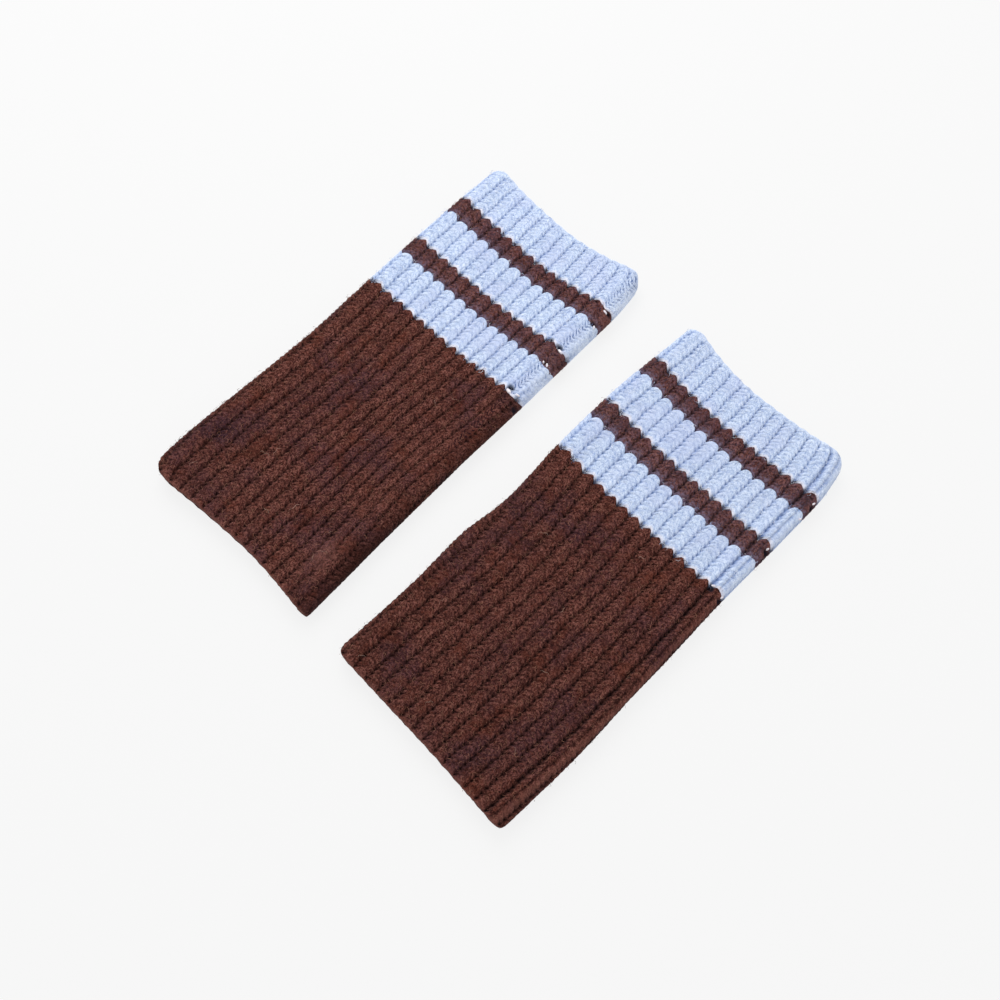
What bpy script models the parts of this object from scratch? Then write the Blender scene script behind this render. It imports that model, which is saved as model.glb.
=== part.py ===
"""A pair of ribbed wool wrist warmers, lying flat side by side.

Each warmer is one ribbed tube, knitted from cuff to hem in six stretches of blue and brown yarn
and closed by a seam down one side. It lies on its back layer, with the front layer on top.
Metres, +Z up, cuffs towards +Y, hems towards -Y, the surface that it lies on at Z = 0.
Each yarn stretch is its own object. The pieces of a warmer are parented to an empty at its middle.
"""

from math import cos, pi, radians, sin

import bmesh
import bpy
import numpy as np

MM = 0.001

# Sizes of one warmer, in millimetres
LENGTH = 200.0
WALL = 3.2  # the rib knit, from the inside to the top of a rib
SLIT = 0.6  # what is left open between the two layers
RIBS = 28  # round the tube, with one centred on each side fold
RIB_DEPTH = 1.1
RIB_CREST = 0.22  # half the flat top of a rib, as a share of its width
SIDE_RISE = 1.1  # how much higher the front layer stands beside the folds
SIDE_REACH = 9.0  # how far in from the folds it does so
FRONT_EASE = 0.9  # how far the front layer stands off the back one, before its hollows
FOLD_POINTS = (0.0, 0.15, 0.3, 0.45, 0.72)  # on each side of a fold's middle, in ribs
DIP_SHAPE = 1.6  # 2 would make each dipping course a plain parabola
EDGE_RINGS = (0.0, 1.2, 4.5)  # rings near a free edge, from it
LIP = 0.7  # how much the free edges are rounded off
SEAM_GAP = 0.3
UNDER_POINTS = 5  # points across the flat underside

# The six yarn stretches, from the cuff down: name, yarn, length, rings along the outside
STRETCHES = (
    ("cuff_band", "blue", 22.8, 3),
    ("upper_stripe", "brown", 9.4, 2),
    ("middle_band", "blue", 19.0, 3),
    ("lower_stripe", "brown", 9.6, 2),
    ("lower_band", "blue", 19.1, 3),
    ("body", "brown", 120.1, 8),
)

# How each warmer lies. Its middle and turn in the pair, the radius of each corner, then its outline,
# with a row for each place y along it: where its side folds are, and how far the course there lies
# off its own place, towards the cuff, at the left fold, in its dip and at the right fold.
LEFT = {
    "name": "left",
    "middle": (-55.8, 1.2),
    "turn": 1.4,
    "corners": {"cuff_left": 4.0, "cuff_right": 6.0, "hem_left": 8.0, "hem_right": 3.0},
    "dip_at": 0.15,  # across, from -1 at the left fold to 1 at the right one
    "outline": (
        # y, left, right, lift at left, in the dip, at right
        (100, -42.6, 44.6, 1.9, -3.7, 2.0),
        (85, -43.4, 46.2, 1.6, -2.5, 2.2),
        (60, -44.0, 46.1, 1.1, -1.2, 2.0),
        (20, -44.1, 45.4, 0.8, -0.2, 1.9),
        (-15, -43.7, 44.4, 0.3, 0.2, 0.8),
        (-50, -45.5, 44.0, -0.2, 0.9, -0.2),
        (-80, -47.1, 44.0, -0.5, 1.7, -1.0),
        (-100, -46.9, 44.0, -0.6, 2.2, -1.5),
    ),
    # the largest folds of the front layer: start and end as (x, y), half width, height
    "folds": (
        {"start": (31, 22), "end": (20, -62), "width": 8.0, "height": -0.9},
        {"start": (38, -5), "end": (34, -92), "width": 5.0, "height": 1.0},
        {"start": (-20, 60), "end": (-32, -60), "width": 12.0, "height": 0.5},
    ),
}
RIGHT = {
    "name": "right",
    "middle": (55.8, -1.2),
    "turn": -1.4,
    "corners": {"cuff_left": 4.0, "cuff_right": 6.0, "hem_left": 3.0, "hem_right": 2.5},
    "dip_at": -0.1,
    "outline": (
        (100, -42.7, 42.3, 0.9, -6.1, -2.3),
        (85, -43.7, 44.9, 0.5, -4.6, -2.2),
        (60, -45.5, 45.3, 0.2, -3.1, -1.8),
        (20, -45.2, 44.6, 0.0, -1.9, -1.4),
        (-15, -43.3, 45.0, 0.0, -0.6, -0.7),
        (-32, -45.2, 45.0, 0.2, 0.0, -0.3),
        (-60, -44.3, 45.4, 0.5, 0.3, -0.3),
        (-100, -44.9, 43.8, 0.9, 0.6, -1.1),
    ),
    "folds": (
        {"start": (33, 60), "end": (34, -95), "width": 5.0, "height": -0.8},
        {"start": (-26, 5), "end": (-34, -70), "width": 9.0, "height": 0.7},
        {"start": (8, -20), "end": (14, -95), "width": 11.0, "height": -0.4},
    ),
}

YARNS = {
    "blue": {"colour": (0.49, 0.60, 0.83), "roughness": 0.95},
    "brown": {"colour": (0.085, 0.032, 0.027), "roughness": 0.95},
}


def clear_scene():
    for obj in list(bpy.data.objects):
        bpy.data.objects.remove(obj, do_unlink=True)


def yarn_material(yarn):
    material = bpy.data.materials.new(f"{yarn}_wool")
    material.use_nodes = True
    shader = material.node_tree.nodes["Principled BSDF"]
    colour = YARNS[yarn]["colour"]
    shader.inputs["Base Color"].default_value = (*colour, 1)
    shader.inputs["Roughness"].default_value = YARNS[yarn]["roughness"]
    shader.inputs["Metallic"].default_value = 0
    material.diffuse_color = (*colour, 1)
    return material


def outline_at(outline, y):
    """The columns of the outline after y, at one place along, on a smooth curve through its rows."""
    rows = np.array(outline[::-1], float)
    places = rows[:, 0]
    slopes = np.gradient(rows[:, 1:], places, axis=0)
    k = int(np.clip(np.searchsorted(places, y) - 1, 0, len(places) - 2))
    step = places[k + 1] - places[k]
    t = np.clip((y - places[k]) / step, 0, 1)
    return (
        (1 + 2 * t) * (1 - t) ** 2 * rows[k, 1:]
        + t * (1 - t) ** 2 * step * slopes[k]
        + t * t * (3 - 2 * t) * rows[k + 1, 1:]
        - t * t * (1 - t) * step * slopes[k + 1]
    )


def corner_inset(radius, y):
    """How far a side fold draws in near a free edge, as a quarter circle."""
    near = max(0.0, radius - (LENGTH / 2 - abs(y)))
    return radius - (radius**2 - near**2) ** 0.5


def side_folds(warmer, y):
    """The outermost places of the tube at y, with its corners rounded."""
    left, right = outline_at(warmer["outline"], y)[:2]
    end = "cuff" if y > 0 else "hem"
    left += corner_inset(warmer["corners"][f"{end}_left"], y)
    right -= corner_inset(warmer["corners"][f"{end}_right"], y)
    return left, right


def fold_height(fold, x, y):
    """The height that one soft ridge or hollow adds: full along its line and gone past its ends."""
    (x0, y0), (x1, y1) = fold["start"], fold["end"]
    along = ((x - x0) * (x1 - x0) + (y - y0) * (y1 - y0)) / ((x1 - x0) ** 2 + (y1 - y0) ** 2)
    near = min(max(along, 0), 1)
    away2 = (x - x0 - near * (x1 - x0)) ** 2 + (y - y0 - near * (y1 - y0)) ** 2
    return fold["height"] * np.exp(-away2 / fold["width"] ** 2)


def front_ease(warmer, x, y, left, right):
    """How far the front layer stands off the back one at a point."""
    from_fold = min(x - left, right - x)
    ease = FRONT_EASE + SIDE_RISE * np.exp(-((from_fold / SIDE_REACH) ** 2))
    return max(0.0, ease + sum(fold_height(fold, x, y) for fold in warmer["folds"]))


def middle_surface(warmer, s, y):
    """A point on the middle of the wall and its outward direction, across the tube.

    s counts ribs round the tube: 0 on the left fold, 14 on the right fold and 28 back on the left.
    """
    left, right = side_folds(warmer, y)
    left += WALL / 2
    right -= WALL / 2
    rise = SIDE_RISE + FRONT_EASE
    radius = (SLIT + WALL + rise) / 2
    straight = right - left - 2 * radius
    half_round = straight + pi * radius
    quarter = pi * radius / 2
    front = s <= RIBS / 2
    along = (s if front else RIBS - s) / (RIBS / 2) * half_round
    up = 1 if front else -1
    if along < quarter:
        angle = along / radius
        x = left + radius * (1 - cos(angle))
        out = (-cos(angle), up * sin(angle))
        z = radius * (1 + up * sin(angle))
    elif along > half_round - quarter:
        angle = (half_round - along) / radius
        x = right - radius * (1 - cos(angle))
        out = (cos(angle), up * sin(angle))
        z = radius * (1 + up * sin(angle))
    else:
        x = left + radius + along - quarter
        out = (0, up)
        z = 2 * radius if front else 0
    if front and quarter <= along <= half_round - quarter:
        edge = SLIT + WALL + front_ease(warmer, x, y, left, right)
        blend = min(1.0, (along - quarter) / SIDE_REACH, (half_round - quarter - along) / SIDE_REACH)
        z += blend * (edge - z)
    return x, z + WALL / 2, out


def course_lift(warmer, x, y):
    """How far towards the cuff a course lies, off its own place, because it dips and leans."""
    left, right, at_left, at_dip, at_right = outline_at(warmer["outline"], y)
    across = np.clip((2 * x - left - right) / (right - left), -1, 1) - warmer["dip_at"]
    if across < 0:
        return at_dip + (at_left - at_dip) * (-across / (1 + warmer["dip_at"])) ** DIP_SHAPE
    return at_dip + (at_right - at_dip) * (across / (1 - warmer["dip_at"])) ** DIP_SHAPE


def rib_places():
    """Where the points of a ring lie, in ribs, and whether each is in a groove.

    The tube turns through a half circle at each side fold, so the ribs there have more points.
    """
    last_rib = RIBS // 2
    turn = [reach for reach in FOLD_POINTS if 0 < reach < 0.5]
    half_fold = [-1 * reach for reach in turn[::-1]] + [0] + turn
    front = [(-FOLD_POINTS[-1], False)] + [(place, False) for place in half_fold]
    for rib in range(1, last_rib):
        front += [(rib - 0.5, True), (rib - RIB_CREST, False), (rib + RIB_CREST, False)]
    front += [(last_rib - 0.5, True)] + [(last_rib + place, False) for place in half_fold]
    under = np.linspace(last_rib + FOLD_POINTS[-1], RIBS - FOLD_POINTS[-1], UNDER_POINTS + 2)
    return front + [(place, False) for place in under[:-1]]


def ring(warmer, y, out_by, ribbed):
    """One ring of points round the tube, out_by from the middle of the wall."""
    points = []
    for place, grooved in rib_places():
        x, z, (out_x, out_z) = middle_surface(warmer, place % RIBS, y)
        faces_up = out_z > 0
        away = out_by - (RIB_DEPTH if ribbed and grooved and faces_up else 0)
        lift = course_lift(warmer, x, y)
        points.append(((x + out_x * away) * MM, (y + lift) * MM, (z + out_z * away) * MM))
    return points


def stretch_rings(warmer, top, bottom, count):
    """The rings of one yarn stretch: down the outside, then back up the inside."""
    outer = list(np.linspace(top, bottom, count))
    inner = list(np.linspace(bottom, top, max(2, count // 2)))
    free_top, free_bottom = top > LENGTH / 2 - 1, bottom < 1 - LENGTH / 2
    if free_top:
        outer[:1] = [top - inset for inset in EDGE_RINGS]
    if free_bottom:
        outer[-1:] = [bottom + inset for inset in EDGE_RINGS[::-1]]
    rings = []
    for y in outer:
        lip = LIP if y in ((top,) if free_top else ()) + ((bottom,) if free_bottom else ()) else 0
        rings.append(ring(warmer, y, WALL / 2 - lip, True))
    for y in inner:
        rings.append(ring(warmer, y, -WALL / 2, False))
    return rings


def closed_loft(name, rings):
    """A mesh through the rings in turn and back to the first, which makes a closed wall."""
    mesh = bpy.data.meshes.new(name)
    built = bmesh.new()
    loops = [[built.verts.new(point) for point in points] for points in rings]
    for k, loop in enumerate(loops):
        following = loops[(k + 1) % len(loops)]
        for j in range(len(loop)):
            after = (j + 1) % len(loop)
            built.faces.new((loop[j], following[j], following[after], loop[after]))
    bmesh.ops.recalc_face_normals(built, faces=built.faces)
    built.to_mesh(mesh)
    built.free()
    return mesh


def build_warmer(warmer, collection, materials):
    holder = bpy.data.objects.new(f"{warmer['name']}_warmer", None)
    holder.location = (warmer["middle"][0] * MM, warmer["middle"][1] * MM, 0)
    holder.rotation_euler.z = radians(warmer["turn"])
    collection.objects.link(holder)
    top = LENGTH / 2
    pieces = []
    for part, yarn, length, count in STRETCHES:
        bottom = top - length
        starts = top - (SEAM_GAP / 2 if top < LENGTH / 2 else 0)
        ends = bottom + (SEAM_GAP / 2 if bottom > 1 - LENGTH / 2 else 0)
        name = f"{warmer['name']}_{part}"
        mesh = closed_loft(name, stretch_rings(warmer, starts, ends, count))
        mesh.materials.append(materials[yarn])
        piece = bpy.data.objects.new(name, mesh)
        piece.parent = holder
        collection.objects.link(piece)
        pieces.append(piece)
        top = bottom
    return holder, pieces


def centre_on_origin(holders, pieces):
    """Moves the pair so that the middle of its box is over the origin."""
    bpy.context.view_layer.update()
    corners = np.array([piece.matrix_world @ v.co for piece in pieces for v in piece.data.vertices])
    middle = (corners.min(axis=0) + corners.max(axis=0)) / 2
    for holder in holders:
        holder.location.x -= middle[0]
        holder.location.y -= middle[1]


def main():
    clear_scene()
    collection = bpy.data.collections.new("wrist_warmers")
    bpy.context.scene.collection.children.link(collection)
    materials = {yarn: yarn_material(yarn) for yarn in YARNS}
    holders, pieces = [], []
    for warmer in (LEFT, RIGHT):
        holder, built = build_warmer(warmer, collection, materials)
        holders.append(holder)
        pieces += built
    centre_on_origin(holders, pieces)


main()
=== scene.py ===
from math import cos, pi, radians, sin

import bpy
import numpy as np
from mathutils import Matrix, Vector
from mathutils.bvhtree import BVHTree


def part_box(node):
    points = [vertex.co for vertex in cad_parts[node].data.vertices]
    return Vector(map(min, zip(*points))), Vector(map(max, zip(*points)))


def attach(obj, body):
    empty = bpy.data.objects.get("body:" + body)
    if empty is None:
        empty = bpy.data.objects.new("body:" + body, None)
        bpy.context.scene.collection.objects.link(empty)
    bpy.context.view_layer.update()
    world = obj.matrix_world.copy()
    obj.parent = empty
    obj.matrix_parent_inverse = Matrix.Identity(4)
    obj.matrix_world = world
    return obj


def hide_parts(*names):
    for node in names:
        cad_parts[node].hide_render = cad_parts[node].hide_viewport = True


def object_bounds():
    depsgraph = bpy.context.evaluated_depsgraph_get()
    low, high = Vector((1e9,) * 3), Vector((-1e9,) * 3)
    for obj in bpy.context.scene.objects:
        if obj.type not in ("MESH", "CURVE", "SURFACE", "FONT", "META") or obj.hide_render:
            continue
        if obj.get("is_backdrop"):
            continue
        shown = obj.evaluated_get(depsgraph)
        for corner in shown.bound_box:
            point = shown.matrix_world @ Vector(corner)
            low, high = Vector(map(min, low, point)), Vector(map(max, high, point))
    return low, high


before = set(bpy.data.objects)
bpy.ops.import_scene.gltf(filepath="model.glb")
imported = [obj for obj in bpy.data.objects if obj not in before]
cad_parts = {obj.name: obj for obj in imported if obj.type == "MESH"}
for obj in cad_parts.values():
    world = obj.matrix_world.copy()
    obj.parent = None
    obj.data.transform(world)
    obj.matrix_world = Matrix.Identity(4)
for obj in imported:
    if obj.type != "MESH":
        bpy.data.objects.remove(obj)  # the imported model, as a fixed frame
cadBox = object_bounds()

mm = 0.001

# what both warmers share; lengths are in millimetres
tube = {
    "length": 200.0,
    "width": 90,
    "wall": 3.2,
    "slit": 0.6,
    "ribs": 28,
    "sideRise": 1.1,
    "sideReach": 9.0,
    "frontEase": 0.9,
    "dipShape": 1.6,
    "lipRadius": 1.3,
    "cornerSqueeze": 3.2,  # ribs that give way where a corner is rounded
    "roundFolds": 5.5,  # what the rounds of both folds add to the way across
}
# the yarn stretches from the cuff down
stretches = [
    {"name": name, "yarn": yarn, "length": length, "courses": courses}
    for name, yarn, length, courses in (
        ("cuff_band", "blue", 22.8, 10),
        ("upper_stripe", "brown", 9.4, 4),
        ("middle_band", "blue", 19.0, 8),
        ("lower_stripe", "brown", 9.6, 4),
        ("lower_band", "blue", 19.1, 8),
        ("body", "brown", 120.1, 50),
    )
]
# how finely a stitch is drawn: places within a course, and within a rib from groove to groove
stitchGrid = {
    "alongCourse": (0, 0.13, 0.3, 0.5, 0.7, 0.87),
    "acrossRib": (-0.5, -0.45, -0.38, -0.27, -0.14, 0, 0.14, 0.27, 0.38, 0.45),
    "insideRows": 8,
}
# the teeth of a course: how high they are, and how much of that lies above the course's own line
teeth = {
    "pointedRise": 2.5,
    "pointedAbove": 0.48,
    "roundRise": 2.2,
    "roundAbove": 0.66,
    "lean": 0.07,
    "uneven": 0.17,
    "fadeOver": 2.2,  # millimetres from a free edge
    "leftAtEdge": 0.12,
}

left = {
    "name": "left",
    "turn": 1.4,
    "veil": 0.46,  # blue hairs caught in the brown stripes
    "corners": [(4.0, 8.0), (6.0, 3.0)],  # rounded by: at the cuff and the hem, left and then right
    "dipAt": 0.15,
    # y, left fold, right fold, lift of the course at the left, in its dip and at the right
    "outline": [
        (100, -42.6, 44.6, 1.9, -3.7, 2.0),
        (85, -43.4, 46.2, 1.6, -2.5, 2.2),
        (60, -44.0, 46.1, 1.1, -1.2, 2.0),
        (20, -44.1, 45.4, 0.8, -0.2, 1.9),
        (-15, -43.7, 44.4, 0.3, 0.2, 0.8),
        (-50, -45.5, 44.0, -0.2, 0.9, -0.2),
        (-80, -47.1, 44.0, -0.5, 1.7, -1.0),
        (-100, -46.9, 44.0, -0.6, 2.2, -1.5),
    ],
    # broad folds of the front: from where to where, how wide and how high
    "folds": [
        ((31, 22), (20, -62), 8.0, -0.9), ((38, -5), (34, -92), 5.0, 1.0),
        ((-20, 60), (-32, -60), 12.0, 0.5), ((33, -40), (29, -72), 3.2, -0.6),
        ((-8, -10), (4, -88), 9.0, 0.35), ((-38, -40), (-30, -86), 4.0, -0.35),
        ((6, 88), (12, 40), 7.0, -0.3), ((43, -30), (43, -96), 3.0, -0.9),
    ],
    # ribs bent sideways off their own line: x, y, reach across and along, by how much
    "bends": [(30, -20, 5, 9, -0.7), (-30, -70, 14, 24, 0.5)],
    # y, where across the front ribs begin to crowd, by how many, and how many lead at the left
    "crowding": [
        (100, 0.52, 0.45, 0.25), (60, 0.52, 0.5, 0.15), (30, 0.55, 0.95, -0.08),
        (5, 0.52, 1.15, -0.16), (-15, 0.4, 1.4, -0.26), (-36, 0.42, 1.75, -0.14),
        (-56, 0.42, 1.45, -0.02), (-76, 0.42, 1.1, -0.02), (-100, 0.4, 1.3, -0.1),
    ],
    # the seam beside the right fold
    "seam": {
        "line": [(100, 41.6), (55, 40.4), (15, 38.2), (-20, 37.0)],  # y and x of its middle
        "width": 1.7,  # from its middle to its edge
        "drop": 1.9,  # how far courses fall as they cross it
        "lean": 0.13,  # how fast its stitches slope
        "startsAt": -25,  # it comes in above this y
        "startsOver": 20,
        "ribs": (10, 17),  # where round the tube it moves the courses
    },
    "deepGroove": {},
    # felted, purplish and painted places: x, y, reach across and along, and how far felted, painted shade
    # (strongest along the folds), purplish and pale; the pale at the right fold of the blue bands is painted
    # light
    "spots": [
        (32, -80, 4, 7, 0.9, 0, 1.0, 0.5), (31, -52, 3, 12, 0.45, 0.15, 0, 0),
        (44.6, -72, 5.2, 38, 0.35, 1.0, 0, 0), (44.8, -18, 2.6, 26, 0, 0.95, 0, 0),
        (-45.0, -5, 1.3, 42, 0, 0.6, 0, 0), (-47.3, -74, 1.4, 30, 0, 0.6, 0, 0),
        (20, -30, 7, 16, 0.3, 0, 0, 0), (-20, -40, 9, 12, 0, 0.12, 0.8, 0),
        (-36, -72, 8, 9, 0, 0.15, 0.9, 0), (-28, -90, 10, 6, 0, 0.2, 0.7, 0),
        (-12, -18, 6, 5, 0, 0, 0.8, 0), (39, -94, 7, 6, 0.5, 0.3, 1.0, 0),
        (44.5, 86, 2.6, 14, 0.5, 0, 0, 1.0), (44, 58, 2.4, 9, 0, 0, 0, 0.9),
        (43.5, 32, 3, 9, 0.5, 0, 0, 0.9),
    ],
    "backSpots": [(10, 40, 20, 22, 0.5, 0, 0.7, 0), (-15, -50, 18, 30, 0.4, 0, 0.8, 0)],
    # small openings between stitches, dented and with painted shade: x, y, reach across and along
    "pits": [
        (43.7, 76.3, 1.0, 0.9), (42.7, 67.9, 1.0, 1.1), (39.9, 50.1, 1.6, 1.0), (37.3, 22.6, 1.8, 1.1),
        (44.6, 16.4, 2.0, 1.4), (40.3, 40.7, 1.0, 1.1), (34.7, 50.6, 0.9, 0.9), (36.8, 77.6, 0.8, 0.8),
    ],
    # loops of pale yarn that lie over the seam: x, y, direction in degrees, length and width
    "loops": [
        (42.8, 75.8, -16, 2.1, 1.1), (44.0, 67.2, -50, 1.8, 1.0), (41.4, 48.6, -12, 2.8, 1.1),
        (41.5, 40.1, -50, 1.7, 1.0), (39.3, 40.4, -45, 1.1, 0.8), (37.7, 20.7, -15, 2.6, 1.5),
        (41.7, 21.6, 10, 2.0, 1.0),
    ],
    # pale hairs and flecks: x, y, direction in degrees, length, and how much they curl
    "hairs": [
        (9.8, -74, 80, 6.5, 1.6), (21.2, -64, 60, 1.3, 0.3), (27.2, -71.2, 75, 1.5, 0.2),
        (31, -79, 30, 5.0, 1.2), (29.5, -83, 120, 4.0, -1.0), (-16, -66, 20, 5.0, 2.2),
        (-13, -62, 100, 4.5, 1.8), (10, -34, 50, 2.2, 0.6), (2, -82, 10, 4.0, 1.0),
        (24, 4, 35, 4.5, -1.2), (19, -3, 140, 3.5, 1.4), (-34, -88, 65, 3.5, 1.1),
    ],
}
right = {
    "name": "right",
    "turn": -1.4,
    "veil": 0.60,
    "corners": [(4.0, 3.0), (6.0, 2.5)],
    "dipAt": -0.1,
    "outline": [
        (100, -42.7, 42.3, 0.9, -6.1, -2.3),
        (85, -43.7, 44.9, 0.5, -4.6, -2.2),
        (60, -45.5, 45.3, 0.2, -3.1, -1.8),
        (20, -45.2, 44.6, 0.0, -1.9, -1.4),
        (-15, -43.3, 45.0, 0.0, -0.6, -0.7),
        (-32, -45.2, 45.0, 0.2, 0.0, -0.3),
        (-60, -44.3, 45.4, 0.5, 0.3, -0.3),
        (-100, -44.9, 43.8, 0.9, 0.6, -1.1),
    ],
    "folds": [
        ((33, 60), (34, -95), 5.0, -0.8), ((-26, 5), (-34, -70), 9.0, 0.7),
        ((8, -20), (14, -95), 11.0, -0.4), ((38, 90), (37.5, -60), 1.6, -0.5),
        ((-36, -45), (-28, -98), 4.0, -0.4), ((-10, 70), (-2, 10), 8.0, 0.3),
    ],
    "bends": [(-4, -40, 16, 24, -0.5)],
    "crowding": [
        (100, 0.4, 0.55, 0.05), (60, 0.4, 0.62, -0.05), (5, 0.4, 0.6, -0.06),
        (-14, 0.4, 0.6, -0.14), (-34, 0.4, 0.5, -0.7), (-54, 0.4, 0.6, -0.25),
        (-74, 0.4, 0.75, 0.1), (-100, 0.4, 0.9, 0.0),
    ],
    "seam": None,
    "deepGroove": {"Deep groove at": 13.5, "Deep groove by": 0.75},
    # painted shade over the lower right warmer, along its left fold and in some patches, with felted and
    # purplish places; columns as on the left
    "spots": [
        (5, -75, 90, 75, 0, 0.13, 0, 0), (-45.2, -60, 1.3, 38, 0, 0.5, 0, 0),
        (-30, -20, 8, 12, 0.2, 0, 0.45, 0), (2, -62, 10, 12, 0, 0, 0.4, 0),
        (22, -90, 9, 7, 0, 0.15, 0.35, 0), (-12, -4, 7, 6, 0, 0, 0.45, 0),
        (35, -50, 3, 20, 0.2, 0.25, 0, 0), (43, 88, 3, 12, 0.4, 0, 0, 0),
    ],
    "backSpots": [(-8, 30, 20, 26, 0.5, 0, 0.7, 0), (14, -60, 20, 26, 0.4, 0, 0.8, 0)],
    "pits": [
        (44.2, 71.2, 1.2, 1.0), (43.2, 44.0, 1.2, 1.1), (38.4, 17.5, 1.5, 1.0), (43.4, 16.5, 1.4, 1.0),
    ],
    "loops": [
        (44.2, 72.8, 75, 1.3, 0.8), (44.4, 64.0, 60, 1.2, 0.8), (43.4, 45.4, 80, 1.2, 0.8),
        (38.3, 19.1, 20, 1.5, 0.9), (43.5, 18.2, 75, 1.2, 0.8),
    ],
    "hairs": [
        (-22, -12, 40, 4.5, 1.3), (4, -28, 110, 3.0, -0.9), (-30, -58, 70, 3.6, 1.5),
        (16, -50, 20, 4.2, 1.0), (28, -78, 130, 3.2, -1.3), (-6, -88, 60, 3.4, 1.4),
        (39, -30, 85, 1.8, 0.3), (12, 8, 15, 3.4, 1.2), (-36, -94, 45, 3.0, 1.0),
    ],
}


def smooth(share):
    share = np.clip(share, 0, 1)
    return share * share * (3 - 2 * share)


def outlineAt(rows, y):
    # a smooth curve through the rows of the outline, read at each y
    rows = np.array(rows[::-1], float)
    places = rows[:, 0]
    slopes = np.gradient(rows[:, 1:], places, axis=0)
    k = np.clip(np.searchsorted(places, y) - 1, 0, len(places) - 2)
    step = (places[k + 1] - places[k])[:, None]
    t = np.clip((y - places[k])[:, None] / step, 0, 1)
    return (
        (1 + 2 * t) * (1 - t) ** 2 * rows[k, 1:]
        + t * (1 - t) ** 2 * step * slopes[k]
        + t * t * (3 - 2 * t) * rows[k + 1, 1:]
        - t * t * (1 - t) * step * slopes[k + 1]
    )


def fromFreeEdge(y):
    return tube["length"] / 2 - abs(y)


def cornerInset(warmer, y):
    # how far the rounded corners of the free edges pull the left and right folds in
    for atCuff, atHem in warmer["corners"]:
        radius = np.where(y > 0, atCuff, atHem)
        near = np.maximum(0, radius - fromFreeEdge(y))
        yield (radius - np.sqrt(radius**2 - near**2))[:, None]


def sideFolds(warmer, y):
    # where the tube is folded at its sides
    sides = outlineAt(warmer["outline"], y)[:, :2]
    insetLeft, insetRight = cornerInset(warmer, y)
    return sides[:, :1] + insetLeft, sides[:, 1:] - insetRight


def foldHeights(folds, x, y):
    total = np.zeros_like(x)
    for (x0, y0), (x1, y1), width, height in folds:
        along = ((x - x0) * (x1 - x0) + (y - y0) * (y1 - y0)) / ((x1 - x0) ** 2 + (y1 - y0) ** 2)
        near = np.clip(along, 0, 1)
        away2 = (x - x0 - near * (x1 - x0)) ** 2 + (y - y0 - near * (y1 - y0)) ** 2
        total += height * np.exp(-away2 / width**2)
    return total


def middleSurface(warmer, s, y):
    # the middle of the wall and its outward direction; s counts ribs round the tube
    wall, reach, ribs = tube["wall"], tube["sideReach"], tube["ribs"]
    leftFold, rightFold = sideFolds(warmer, y)
    leftEnd, rightEnd = leftFold + wall / 2, rightFold - wall / 2
    rise = tube["sideRise"] + tube["frontEase"]
    radius = (tube["slit"] + wall + rise) / 2
    halfRound = rightEnd - leftEnd - 2 * radius + pi * radius
    quarter = pi * radius / 2
    front = s <= ribs / 2
    up = np.where(front, 1.0, -1.0)
    along = np.where(front, s, ribs - s) / (ribs / 2) * halfRound
    fromEnd = np.minimum(along, halfRound - along)
    side = np.where(along < halfRound / 2, -1, 1)
    end = np.where(side < 0, leftEnd, rightEnd)
    onRound = fromEnd < quarter
    turn = np.clip(fromEnd / radius, 0, pi / 2)
    x = np.where(onRound, end - side * radius * (1 - np.cos(turn)), leftEnd + radius + along - quarter)
    outX = np.where(onRound, side * np.cos(turn), 0)
    outZ = up * np.sin(turn)
    z = radius * (1 + outZ)
    yy = np.broadcast_to(y[:, None], x.shape)
    fromFold = np.minimum(x - leftFold, rightFold - x)
    ease = tube["frontEase"] + tube["sideRise"] * np.exp(-((fromFold / reach) ** 2))
    ease = np.maximum(0, ease + foldHeights(warmer["folds"], x, yy))
    blend = np.clip((fromEnd - quarter) / reach, 0, 1)
    z += np.where(front & ~onRound, blend * (tube["slit"] + wall + ease - z), 0)
    return x, z + wall / 2, outX, outZ


def courseLift(warmer, x, y):
    # courses dip and lean: how far towards the cuff each lies off its own place
    rows = outlineAt(warmer["outline"], y)
    leftFold, rightFold, atLeft, atDip, atRight = (rows[:, k : k + 1] for k in range(5))
    dipAt = warmer["dipAt"]
    across = np.clip((2 * x - leftFold - rightFold) / (rightFold - leftFold), -1, 1) - dipAt
    toLeft = np.maximum(-across, 0) / (1 + dipAt)
    toRight = np.maximum(across, 0) / (1 - dipAt)
    lift = atDip + (atLeft - atDip) * toLeft ** tube["dipShape"]
    return lift + (atRight - atDip) * toRight ** tube["dipShape"]


def ribLines(warmer, wales, y):
    # where round the tube each rib line runs: some lead at the left, some crowd to the right
    ribs = tube["ribs"]
    half = ribs / 2
    places = np.linspace(0, ribs, 20 * ribs + 1)
    table = np.array(warmer["crowding"][::-1], float)
    starts, amounts, leads = (np.interp(y, table[:, 0], table[:, k]) for k in (1, 2, 3))
    found = np.empty((len(y), len(wales)))
    for row, (start, amount, lead) in enumerate(zip(starts, amounts, leads)):
        crowd = amount * smooth((places / half - start) / (1 - start))
        crowd += lead * smooth(places / 1.2) * np.maximum(1 - places / half / 0.7, 0)
        behind = half + amount + (half - amount) * (places - half) / half
        counted = np.where(places <= half, places + crowd, behind)
        found[row] = np.interp(wales, counted, places)
    x = middleSurface(warmer, found, y)[0]
    inward = smooth(np.minimum(found, half - found) / 1.5)
    for *place, by in warmer["bends"]:
        found += by * bellAt(place, x, y[:, None]) * inward * half / tube["width"]
    return straightPastCorners(warmer, found, y)


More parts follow.
